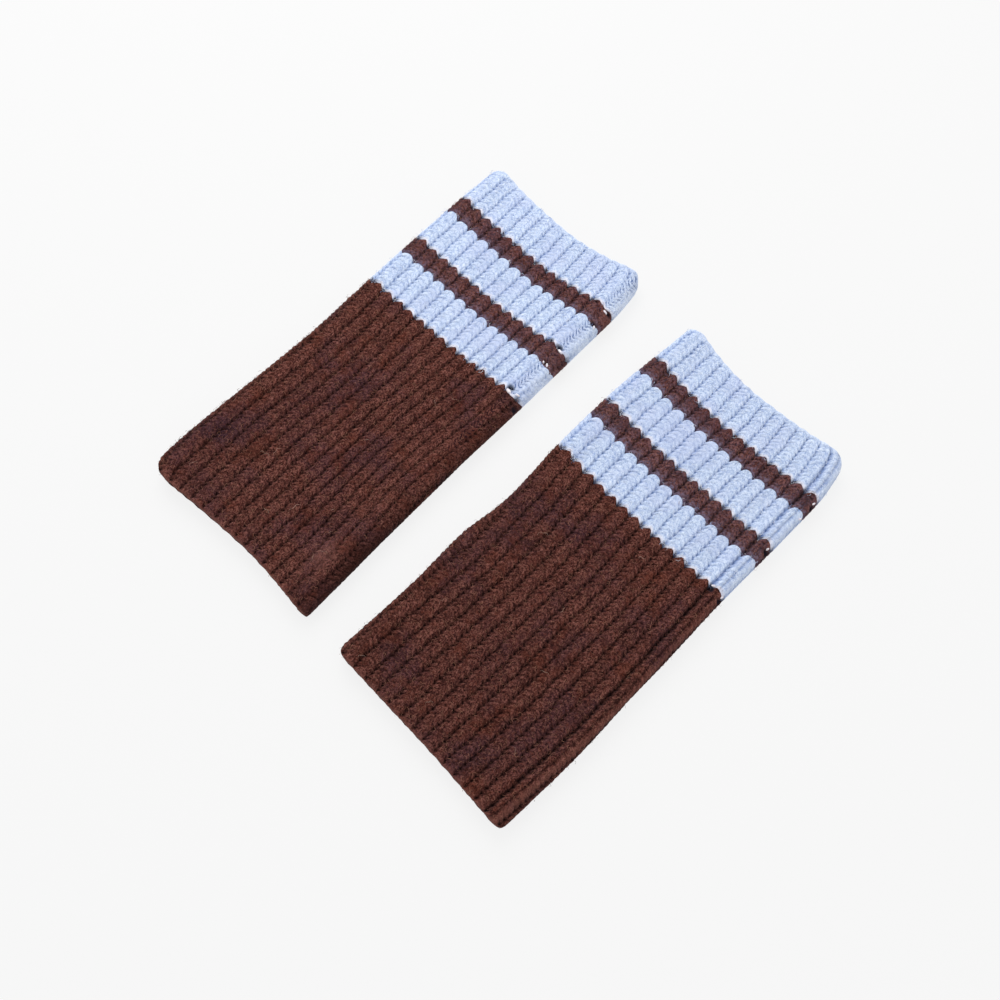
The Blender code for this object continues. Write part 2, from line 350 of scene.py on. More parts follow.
def straightPastCorners(warmer, found, y):
    # ribs keep straight on where a corner is rounded, and only those at the fold give way
    half, squeeze = tube["ribs"] / 2, tube["cornerSqueeze"]
    leftFold, rightFold = sideFolds(warmer, y)
    insetLeft, insetRight = cornerInset(warmer, y)
    squeezed = rightFold - leftFold + tube["roundFolds"]
    full = squeezed + insetLeft + insetRight
    fromLeft = np.where(found <= half, found, 2 * half - found)
    straight = (fromLeft * full / half - insetLeft) / squeezed * half
    free = smooth(fromLeft / squeeze) * smooth((half - fromLeft) / squeeze)
    moved = fromLeft + (straight - fromLeft) * free
    return np.where(found <= half, moved, 2 * half - moved)


boundaries = np.cumsum([0] + [stretch["courses"] for stretch in stretches])
# brown teeth below blue are pointed, blue tops below brown are round
roundness = np.interp(np.arange(boundaries[-1] + 1), boundaries, [0.4, 0, 1, 0, 1, 0, 0.2])


def chevron(wales, course, y):
    # each course runs up to the middle of every rib, some a little higher
    ribs = np.round(wales)[None, :]
    beside = wales[None, :] - ribs
    leaning = teeth["lean"] * np.sin(ribs * 3.7 + course[:, None] * 1.1)
    across = 2 * abs(beside + leaning * (1 - 4 * beside**2))
    ownRise = 1 + teeth["uneven"] * np.sin(ribs * 2.4 + course[:, None] * 1.7)
    roundTop = np.interp(course, np.arange(len(roundness)), roundness)[:, None]
    pointed = 1 - np.sqrt(across**2 + 0.004) / np.sqrt(1.004)
    rounded = 1 - across**2.6
    rise = (1 - roundTop) * teeth["pointedRise"] * (pointed - teeth["pointedAbove"])
    rise = rise + roundTop * teeth["roundRise"] * (rounded - teeth["roundAbove"])
    least = teeth["leftAtEdge"]
    fade = least + (1 - least) * smooth(fromFreeEdge(y) / teeth["fadeOver"])
    return rise * ownRise * fade[:, None]


def bellAt(place, x, y, power=1):
    # 1 at a place, falling off around it; with a higher power the top is flat and the rim sharp
    x0, y0, reachX, reachY = place
    return np.exp(-((((x - x0) / reachX) ** 2 + ((y - y0) / reachY) ** 2) ** power))


markNames = ("purl", "beside", "ladder", "felt", "shade", "cast", "pale", "pit")


def shellPoints(warmer, wales, course, y, outBy):
    # points of the shell, with what its knitting needs to know at each
    s = ribLines(warmer, wales, y)
    x, z, outX, outZ = middleSurface(warmer, s, y)
    lift = courseLift(warmer, x, y)
    yy = y[:, None]
    front = (s < tube["ribs"] / 2) & (outZ > 0)
    marks = {name: np.zeros_like(x) for name in markNames}
    seam, plain = warmer["seam"], 0.0
    if seam:
        fade = smooth((y - seam["startsAt"]) / seam["startsOver"])[:, None]
        line = np.array(seam["line"][::-1])
        fromSeam = x - np.interp(y, line[:, 0], line[:, 1])[:, None]
        first, last = seam["ribs"]
        atSide = fade * smooth((s - first) / 2) * smooth((last - s) / 2)
        marks["purl"] = np.where(front, smooth(1.6 - abs(fromSeam) / seam["width"]), 0) * fade
        marks["ladder"] = fromSeam * seam["lean"]
        lift -= seam["drop"] * np.where(front, smooth((fromSeam + 2.5) / 4), 1) * atSide
        plain = np.where(front, smooth((fromSeam + 0.5) / 2), 1) * atSide
        plain = plain * (1 - 0.7 * np.exp(-(((s - tube["ribs"] / 2) / 0.55) ** 2)))
        marks["beside"] = np.where(front, smooth((fromSeam + 5) / 3), 0) * fade
    lift = lift + chevron(wales, course, y) * (1 - np.maximum(marks["purl"], plain))
    wrapped = front | (abs(outX) > 0.35)  # the front and the rounds of the folds
    # felt and purple cast of the spots, with their painted shade and their pale, which at the fold flanks is
    # painted light
    wornAndPaintedLight = [(row, wrapped) for row in warmer["spots"]] + [(row, ~wrapped) for row in warmer["backSpots"]]
    for row, where in wornAndPaintedLight:
        near = bellAt(row[:4], x, yy + lift) * where
        for name, amount in zip(("felt", "shade", "cast", "pale"), row[4:]):
            marks[name] = np.maximum(marks[name], amount * near)
    for pit in warmer["pits"]:
        marks["pit"] = np.maximum(marks["pit"], bellAt(pit, x, yy + lift, 2) * front)
    points = np.stack([x + outX * outBy, yy + lift, z + outZ * outBy], axis=-1)
    away = np.stack([outX, np.zeros_like(outX), outZ], axis=-1)
    return [points, away, *marks.values()]


def stretchGrid(warmer, number):
    # the rings of one yarn stretch: down the outside, then back up the inside
    ribs, wall = tube["ribs"], tube["wall"]
    wales = (np.arange(ribs)[:, None] + np.array(stitchGrid["acrossRib"])[None, :]).ravel()
    firstRib = np.array([a for a in stitchGrid["acrossRib"] if a < 0]) + ribs
    wales = np.concatenate([wales[wales >= 0], firstRib])
    stretch = stretches[number]
    top = tube["length"] / 2 - sum(each["length"] for each in stretches[:number])
    pitch = stretch["length"] / stretch["courses"]
    phases = np.array(stitchGrid["alongCourse"])
    course = (np.arange(stretch["courses"])[:, None] + phases[None, :]).ravel()
    course = np.append(course, stretch["courses"])
    towardsRim = np.array([0, 0.05, 0.12, 0.2, 0.32, 0.45])  # more rings where a free edge rounds off
    if number == 0:
        course = np.append(towardsRim, course[course > 0.5])
    if number == len(stretches) - 1:
        last = stretch["courses"]
        course = np.append(course[course < last - 0.5], last - towardsRim[::-1])
    y = top - course * pitch
    course = course + boundaries[number]
    fromEdge, lip = fromFreeEdge(y), tube["lipRadius"]
    near = np.maximum(0, lip - fromEdge)
    rounded = lip - np.sqrt(np.maximum(lip**2 - near**2, 0))
    outside = shellPoints(warmer, wales, course, y, (wall / 2 - rounded)[:, None])
    evenly = np.linspace(len(y) - 1, 0, stitchGrid["insideRows"]).round().astype(int)
    insideRows = np.union1d(evenly, np.flatnonzero(fromEdge < lip + 0.4))[::-1]
    inLip = -(wall / 2 - np.minimum(0.9 * rounded, wall / 2 - 0.3))[insideRows, None]
    inside = shellPoints(warmer, wales, course[insideRows], y[insideRows], inLip)
    points, away, *marks = (np.concatenate([a, b]) for a, b in zip(outside, inside))
    marks = dict(zip(markNames, marks))
    marks["wale"] = np.tile(wales, (len(points), 1))
    rows = np.append(np.arange(len(y)), insideRows)
    alongTube = {
        "course": course[rows],
        "outer": np.arange(len(rows)) < len(y),
        "edge": fromEdge[rows],
        # the last courses above a change of colour, where the next yarn shows between stitches
        "change": course[rows] - boundaries[number + 1],
    }
    for name, values in alongTube.items():
        marks[name] = np.repeat(values[:, None], len(wales), axis=1)
    if number == len(stretches) - 1:
        marks["change"] -= 1e3  # no yarn follows the body
    marks["veil"] = np.full_like(marks["wale"], warmer["veil"] if "stripe" in stretch["name"] else 0)
    return points, away, marks, len(y)


def turned(points, degrees):
    x, y, *rest = np.moveaxis(points, -1, 0)
    along, aside = cos(radians(degrees)), sin(radians(degrees))
    return np.stack([x * along - y * aside, x * aside + y * along, *rest], axis=-1)


def roundedMesh(name, points, faces):
    mesh = bpy.data.meshes.new(name)
    mesh.from_pydata(points.tolist(), [], faces)
    mesh.polygons.foreach_set("use_smooth", np.ones(len(faces), bool))
    return mesh


def stretchMesh(name, warmer, number, shift):
    points, away, marks, outerRows = stretchGrid(warmer, number)
    points = (turned(points, warmer["turn"]) + shift) * mm
    away = turned(away, warmer["turn"])
    rows, columns = points.shape[:2]
    row, ring = np.mgrid[:rows, :columns]
    here, below, after = row * columns, (row + 1) % rows * columns, (ring + 1) % columns
    faces = np.stack([here + ring, below + ring, below + after, here + after], axis=-1).reshape(-1, 4)
    mesh = roundedMesh(name, points.reshape(-1, 3), faces.tolist())
    # its own UV map: the outside has most of it, the inside a strip
    strips = [np.linspace(0.985, 0.24, outerRows), np.linspace(0.2, 0.03, rows - outerRows), [0.005]]
    u = np.stack([ring, ring, ring + 1, ring + 1], axis=-1) / columns
    v = np.concatenate(strips)[np.stack([row, row + 1, row + 1, row], axis=-1)]
    layer = mesh.uv_layers.new(name="OFBake")
    layer.data.foreach_set("uv", np.stack([u, v], axis=-1).ravel().astype(np.float32))
    for mark, values in marks.items():
        layer = mesh.attributes.new(mark, "FLOAT", "POINT")
        layer.data.foreach_set("value", np.ascontiguousarray(values, np.float32).ravel())
    direction = mesh.attributes.new("away", "FLOAT_VECTOR", "POINT")
    direction.data.foreach_set("vector", away.reshape(-1).astype(np.float32))
    # the rims between outside, ends and inside stay crisp, so that stretches meet with no shade
    rims = []
    if number > 0:
        rims += [0, rows - 1]
    if number < len(stretches) - 1:
        rims += [outerRows - 1, outerRows]
    ends = np.empty(len(mesh.edges) * 2, np.int32)
    mesh.edges.foreach_get("vertices", ends)
    ends = ends.reshape(-1, 2) // columns
    layer = mesh.attributes.new("sharp_edge", "BOOLEAN", "EDGE")
    layer.data.foreach_set("value", (ends[:, 0] == ends[:, 1]) & np.isin(ends[:, 0], rims))
    corners = points.reshape(-1, 3)[faces]
    if (corners[:, 0] * np.cross(corners[:, 1], corners[:, 2])).sum() < 0:
        mesh.flip_normals()
    mesh.update()
    return mesh


# maths on a socket reads as plain Python
def operator(operation, reflected=False):
    def work(self, other):
        first, second = (other, self) if reflected else (self, other)
        return self.nodes.maths(operation, first, second)

    return work


class Value:
    __add__, __radd__ = operator("ADD"), operator("ADD", True)
    __sub__, __rsub__ = operator("SUBTRACT"), operator("SUBTRACT", True)
    __mul__, __rmul__ = operator("MULTIPLY"), operator("MULTIPLY", True)
    __truediv__, __rtruediv__ = operator("DIVIDE"), operator("DIVIDE", True)
    __gt__, __lt__ = operator("GREATER_THAN"), operator("LESS_THAN")
    __pow__ = operator("POWER")

    def __init__(self, nodes, socket):
        self.nodes, self.socket = nodes, socket

    def __neg__(self):
        return self.nodes.maths("MULTIPLY", self, -1)

    def __abs__(self):
        return self.nodes.maths("ABSOLUTE", self)

    def out(self, name):
        # another output of the same node
        return Value(self.nodes, self.socket.node.outputs[name])


def between(share, first, second):
    return first + (second - first) * share


class Nodes:
    def __init__(self, tree):
        self.tree = tree

    def add(self, kind, settings=None, sockets=None, output=0):
        node = self.tree.nodes.new(kind)
        for name, value in (settings or {}).items():
            setattr(node, name, value)
        self.feed(node, sockets or {})
        return Value(self, node.outputs[output])

    def feed(self, node, sockets):
        for name, value in sockets.items():
            for one in value if isinstance(value, list) else [value]:
                if isinstance(one, Value):
                    self.tree.links.new(one.socket, node.inputs[name])
                else:
                    node.inputs[name].default_value = one

    def maths(self, operation, *values):
        return self.add("ShaderNodeMath", {"operation": operation}, dict(enumerate(values)))

    def bell(self, value, width, power=2.0):
        # 1 where value is 0, falling to nothing within about twice the width
        return self.maths("EXPONENT", -((abs(value) / width) ** power))

    def ease(self, value, low, high):
        settings = {"interpolation_type": "SMOOTHSTEP"}
        return self.add("ShaderNodeMapRange", settings, {0: value, 1: low, 2: high, 3: 0.0, 4: 1.0})

    def read(self, name, kind="FLOAT"):
        return self.add("GeometryNodeInputNamedAttribute", {"data_type": kind}, {"Name": name})

    def store(self, geometry, name, value, domain="POINT"):
        sockets = {"Geometry": geometry, "Name": name, "Value": value}
        settings = {"data_type": "FLOAT", "domain": domain}
        return self.add("GeometryNodeStoreNamedAttribute", settings, sockets)

    def vector(self, x, y, z):
        return self.add("ShaderNodeCombineXYZ", None, {0: x, 1: y, 2: z})

    def upward(self, vector):
        return self.add("ShaderNodeSeparateXYZ", None, {0: vector}, "Z")

    def noise(self, place, scale, detail=2.0, roughness=0.55, seed=0.0):
        sockets = {"Vector": place, "W": seed, "Scale": scale, "Detail": detail, "Roughness": roughness}
        return self.add("ShaderNodeTexNoise", {"noise_dimensions": "4D"}, sockets)

    def mix(self, share, first, second):
        # of two colours
        return self.add("ShaderNodeMix", {"data_type": "RGBA"}, {0: share, 6: first, 7: second}, output=2)


def inScene(name, data):
    thing = bpy.data.objects.new(name, data)
    bpy.context.scene.collection.objects.link(thing)
    return thing


def nodeGroup(name, inputs):
    # a Geometry Nodes tree with named inputs; it returns its nodes and its inputs
    tree = bpy.data.node_groups.new(name, "GeometryNodeTree")
    tree.interface.new_socket(name="Geometry", in_out="INPUT", socket_type="NodeSocketGeometry")
    for title, value in inputs.items():
        kind = "NodeSocketInt" if isinstance(value, int) else "NodeSocketFloat"
        socket = tree.interface.new_socket(name=title, in_out="INPUT", socket_type=kind)
        socket.default_value = value
    tree.interface.new_socket(name="Geometry", in_out="OUTPUT", socket_type="NodeSocketGeometry")
    nodes = Nodes(tree)
    given = nodes.add("NodeGroupInput")
    return nodes, {title: given.out(title) for title in ["Geometry", *inputs]}


def endTree(nodes, geometry, materials):
    realised = nodes.add("GeometryNodeRealizeInstances", None, {"Geometry": geometry})
    # nothing goes below the surface that the warmers lie on
    split = nodes.add("ShaderNodeSeparateXYZ", None, {0: nodes.add("GeometryNodeInputPosition")})
    laid = nodes.vector(split.out("X"), split.out("Y"), nodes.maths("MAXIMUM", split.out("Z"), 0.0))
    geometry = nodes.add("GeometryNodeSetPosition", None, {"Geometry": realised, "Position": laid})
    # each next material goes to the share of fibres that has it
    for place, material in enumerate(materials):
        sockets = {"Geometry": geometry, "Material": material}
        if place:
            sockets["Selection"] = nodes.read("tone") > place / len(materials)
        geometry = nodes.add("GeometryNodeSetMaterial", None, sockets)
    ending = nodes.tree.nodes.new("NodeGroupOutput")
    nodes.feed(ending, {"Geometry": geometry})
    return nodes.tree


def grown(name, mesh, tree, inputs):
    # the mesh as the tree leaves it, as a plain object
    source = inScene(name + "_source", mesh)
    modifier = source.modifiers.new("tree", "NODES")
    modifier.node_group = tree
    for item in tree.interface.items_tree:
        if item.in_out == "INPUT" and item.name in inputs:
            modifier[item.identifier] = inputs[item.name]
    graph = bpy.context.evaluated_depsgraph_get()
    made = bpy.data.meshes.new_from_object(source.evaluated_get(graph), depsgraph=graph)
    bpy.data.objects.remove(source)
    made.name = name
    return inScene(name, made)


def byYarn(table):
    # a table whose rows give the blue yarn and then the brown, as one for each yarn
    made = {}
    for place, yarn in enumerate(("blue", "brown")):
        made[yarn] = {key: both[place] for key, both in table.items()}
    return made


# the knitting: heights in millimetres, widths as shares of half a rib
knit = byYarn({
    "Rib depth": (0.52, 0.74),
    "Rib roundness": (0.0, 0.2),
    "Groove width": (0.085, 0.13),
    "Groove wander": (0.3, 0.42),
    "Line width": (0.14, 0.2),
    "Stitch height": (0.25, 0.45),
    "Middle crease": (0.12, 0.12),
    "Groove holes": (0.6, 0.55),
    "Unevenness": (0.3, 0.45),
    "Ladder depth": (0.8, 0.12),
    "Edge bead": (0.15, 0.15),
    "Plain edge": (2.2, 3.2),
    "Lines from edge": (0.4, 2.6),
    "Deep groove at": (-99.0, -99.0),
    "Deep groove by": (0.0, 0.0),
    "Seed": (3, 3),
})
creaseAfter = 0.5  # ribs from the deep groove to the crease beside it
# the seam's V-shaped stitches: how many to a course, where their point is, and their slope
seamStitch = {"pace": 1.25, "point": 0.08, "slope": 3.0}


def seamSteps(nodes, course, ladder):
    # how far up an arm of its V a place is, and how far from the tick between two stitches
    arms = abs(ladder - seamStitch["point"]) * seamStitch["slope"]
    return arms, nodes.maths("FRACT", course * seamStitch["pace"] + arms + 1000.5) - 0.5


def knitTree(material):
    nodes, given = nodeGroup("knit_" + material.name, knit["blue"])
    ease, bell, noise = nodes.ease, nodes.bell, nodes.noise
    names = ("wale", "course", "outer", "edge", "purl", "ladder", "felt", "pit")
    wale, course, outer, edge, purl, ladder, felt, pit = (nodes.read(name) for name in names)
    seed = given["Seed"]
    rib = nodes.maths("ROUND", wale)
    # each groove wanders a little on its way along
    ownGroove = nodes.vector(nodes.maths("FLOOR", wale) * 7.3, course * 0.45, seed)
    wander = (noise(ownGroove, 1.0, 1.0) - 0.5) * given["Groove wander"]
    across = abs(wale + wander - rib) * 2
    fromGroove = 1 - across
    bump = nodes.maths("SINE", nodes.maths("FRACT", course + 1000) * pi)
    strand = nodes.maths("MAXIMUM", bump, 0.0001) ** 0.6
    groove = bell(fromGroove, given["Groove width"], 1.5)
    hole = bell(fromGroove, 0.2) * (1 - bump) ** 3
    leg = ease(across, 0.0, 0.4) * ease(fromGroove, 0.0, 0.25) * 0.6 + 0.4
    stitch = nodes.vector(nodes.maths("FLOOR", wale * 2), nodes.maths("FLOOR", course), seed)
    ownHeight = nodes.add("ShaderNodeTexWhiteNoise", {"noise_dimensions": "3D"}, {"Vector": stitch})
    place = nodes.add("GeometryNodeInputPosition")
    woolly = noise(place, 900.0, 2.0, 0.6, seed)
    lumpy = noise(place, 210.0, 1.0, 0.5, seed + 7.3)
    middle = bell((wale - rib) * 2, 0.12) * between(bump, 1.0, 0.6)
    # the deep groove beside the right fold, and the crease along the rib after it
    fromDeep = wale - given["Deep groove at"]
    deep = bell(fromDeep, 0.15) * 0.8 + bell(fromDeep - creaseAfter, 0.1) * 0.8
    ribbed = (
        (strand - 0.6) * leg * given["Stitch height"] * between(ownHeight, 0.5, 1.5)
        - across**2.6 * given["Rib roundness"]
        - groove * given["Rib depth"] * between(lumpy, 0.5, 1.5) * (1.15 - bump * 0.35)
        - middle * given["Middle crease"]
        - hole * given["Groove holes"]
    )
    ribbed = between(felt * 0.75, ribbed, -0.3) - deep * given["Deep groove by"]
    tick = seamSteps(nodes, course, ladder)[1]
    bar = nodes.maths("COSINE", (0.5 - abs(tick)) * pi)
    relief = between(purl, ribbed, (bar - 0.6) * given["Ladder depth"] - 0.3)
    relief = relief + (woolly - 0.5) * 2 * given["Unevenness"] + (lumpy - 0.5) * 0.6 - pit * 1.4
    relief = relief * between(ease(edge, 0.0, given["Plain edge"]), 0.15, 1.0)
    # the folds at the sides are pressed smooth
    away = nodes.read("away", "FLOAT_VECTOR")
    relief = relief * between(ease(nodes.upward(away), 0.0, 0.6), 0.3, 1.0)
    relief = relief + bell(edge - 0.6, 0.5) * given["Edge bead"]
    sockets = {0: away, "Scale": relief * outer * mm}
    offset = nodes.add("ShaderNodeVectorMath", {"operation": "SCALE"}, sockets)
    sockets = {"Geometry": given["Geometry"], "Offset": offset}
    geometry = nodes.add("GeometryNodeSetPosition", None, sockets)
    line = bell(fromGroove, given["Line width"], 2.0) * (1.15 - bump * 0.4)
    clear = between(ease(edge, 0.0, given["Lines from edge"]), 0.25, 1.0)
    # marks for the material: groove, hole and crease place its painted shade in the grooves, the holes and
    # the creases between stitches
    marks = {
        "groove": between(purl, line, 0.0) * (1 - felt * 0.6) * clear,
        "valley": between(purl, bell(fromGroove, 0.34, 3.0), 0.0),
        "hole": between(purl, hole, 0.0) * (1 - felt * 0.8) * clear,
        "crease": (1 - strand) * (1 - purl),
        "fromDeep": fromDeep,
        "stitchTone": ownHeight,
        "rim": bell(edge, 0.8),
    }
    for name, value in marks.items():
        geometry = nodes.store(geometry, name, value * outer)
    return endTree(nodes, geometry, [material])


# the fuzz that wool carries: short curled fibres on the outside
fuzz = {
    "Fibres per mm2": 1.0,
    "Length": 1.9,
    "Width": 0.08,
    "Rise": 0.42,
    "Spread of length": 0.5,
    "Least slope": 0.6,
    "From edge": 1.6,
    "Most shade": 0.35,
    "Seed": 11,
}
# each fibre shape: how far it curls sideways, how it rises, how much it twists
fibreShapes = [(0.35, 1.0, 0.9), (-0.5, 0.7, 1.6), (0.15, 1.4, 2.4), (0.7, 0.5, -1.2)]
fibreSegments = 3


def fuzzTree(name, materials):
    nodes, given = nodeGroup("fuzz_" + name, fuzz)
    seed = given["Seed"]
    width, length = given["Width"] * mm, given["Length"] * mm
    ends = {"Start": nodes.vector(width * -0.5, 0.0, 0.0), "End": nodes.vector(width * 0.5, 0.0, 0.0)}
    strip = nodes.add("GeometryNodeCurvePrimitiveLine", None, ends)
    shapes = []
    for curl, rise, twist in fibreShapes:
        line = nodes.add("GeometryNodeCurvePrimitiveLine", None, {"End": (0.0, 0.0, 1.0)})
        line = nodes.add("GeometryNodeResampleCurve", None, {"Curve": line, "Count": fibreSegments + 1})
        along = nodes.add("GeometryNodeSplineParameter")
        x = nodes.maths("SINE", along * (1.2 + abs(curl))) * length * 0.8
        y = nodes.maths("SINE", along * pi * 1.3) * length * curl * 0.5
        z = (nodes.maths("SINE", along * pi * 0.85) * rise * given["Rise"] - 0.05) * mm
        sockets = {"Geometry": line, "Position": nodes.vector(x, y, z)}
        placed = nodes.add("GeometryNodeSetPosition", None, sockets)
        tilted = nodes.add("GeometryNodeSetCurveTilt", None, {"Curve": placed, "Tilt": along * twist})
        ribbon = nodes.add("GeometryNodeCurveToMesh", None, {"Curve": tilted, "Profile Curve": strip})
        shapes.append(nodes.add("GeometryNodeGeometryToInstance", None, {0: ribbon}))
    shapes = nodes.add("GeometryNodeJoinGeometry", None, {"Geometry": shapes[::-1]})
    upward = nodes.upward(nodes.add("GeometryNodeInputNormal"))
    # none grows on the worn edges, where shade is painted or where the tube lies on the surface
    chosen = (nodes.read("outer") > 0.9) * (upward > given["Least slope"])
    chosen = chosen * (nodes.read("edge") > given["From edge"])
    chosen = chosen * (nodes.read("shade") < given["Most shade"])
    sockets = {"Mesh": given["Geometry"], "Density": given["Fibres per mm2"] * 1e6 * chosen, "Seed": seed}
    points = nodes.add("GeometryNodeDistributePointsOnFaces", None, sockets)

    def chance(low, high, step):
        sockets = {2: low, 3: high, "Seed": seed + step}
        return nodes.add("FunctionNodeRandomValue", {"data_type": "FLOAT"}, sockets, output=1)

    angles = nodes.vector(chance(-0.35, 0.35, 1), chance(-0.2, 0.35, 2), chance(0.0, 2 * pi, 3))
    turn = nodes.add("FunctionNodeEulerToRotation", None, {0: angles})
    rotation = {0: points.out("Rotation"), 1: turn}
    spread = given["Spread of length"]
    which = {4: 0, 5: len(fibreShapes) - 1, "Seed": seed + 4}
    sockets = {
        "Points": points,
        "Instance": shapes,
        "Pick Instance": True,
        "Instance Index": nodes.add("FunctionNodeRandomValue", {"data_type": "INT"}, which, output=2),
        "Rotation": nodes.add("FunctionNodeRotateRotation", {"rotation_space": "LOCAL"}, rotation),
        "Scale": chance(1 - spread, 1 + spread, 5),
    }
    placed = nodes.add("GeometryNodeInstanceOnPoints", None, sockets)
    return endTree(nodes, nodes.store(placed, "tone", chance(0.0, 1.0, 6), "INSTANCE"), materials)


# the two wools; the last courses above a change of colour have a halo, and a notch of painted shade in each
# groove
wools = byYarn({
    "main": ((0.484, 0.578, 0.752), (0.082, 0.0240, 0.0197)),
    "pale": ((0.74, 0.82, 0.96), (0.25, 0.100, 0.078)),
    "deep": ((0.185, 0.275, 0.52), (0.0085, 0.0021, 0.0018)),
    "cast": ((0.49, 0.55, 0.76), (0.056, 0.025, 0.036)),
    "halo": ((0.82, 0.76, 0.80), (0.075, 0.038, 0.050)),
    "notch": ((0.035, 0.03, 0.05), (0.030, 0.018, 0.040)),
    "tick": ((0.09, 0.15, 0.34), (0.020, 0.006, 0.008)),
    # pit: painted shade in small openings between stitches
    "pit": ((0.012, 0.014, 0.030), (0.010, 0.008, 0.014)),
    "flush": ((0.58, 0.62, 0.82), (0.105, 0.027, 0.016)),
    "flushes": (0.2, 0.65),
    "reds": (0.1, 0.6),
    "clumps": (0.05, 0.35),
    "charred": (0.06, 0.7),
    # how far the yarn's grain goes to the pale and to the deep shade
    "speckles": ((0.85, 0.62), (1.0, 0.95)),
    "veil": ((0.5, 0.6, 0.8), (0.150, 0.117, 0.170)),
    # how far the painted shade in the grooves goes
    "grooves": (0.8, 0.75),
    "fibres": (
        [(0.62, 0.70, 0.88), (0.86, 0.90, 0.98), (0.26, 0.36, 0.62)],
        [(0.125, 0.042, 0.031), (0.27, 0.125, 0.085), (0.026, 0.009, 0.010)],
    ),
    "shine": (0.12, 0.04),
    "sheen": (0.08, 0.03),
})


def newMaterial(name, roughness, specular, sheen=0.0):
    material = bpy.data.materials.new(name)
    material.use_nodes = True
    shader, nodes = material.node_tree.nodes["Principled BSDF"], Nodes(material.node_tree)
    nodes.feed(shader, {"Roughness": roughness, "Specular IOR Level": specular})
    nodes.feed(shader, {"Sheen Weight": sheen, "Sheen Roughness": 0.5})
    return material, shader, nodes


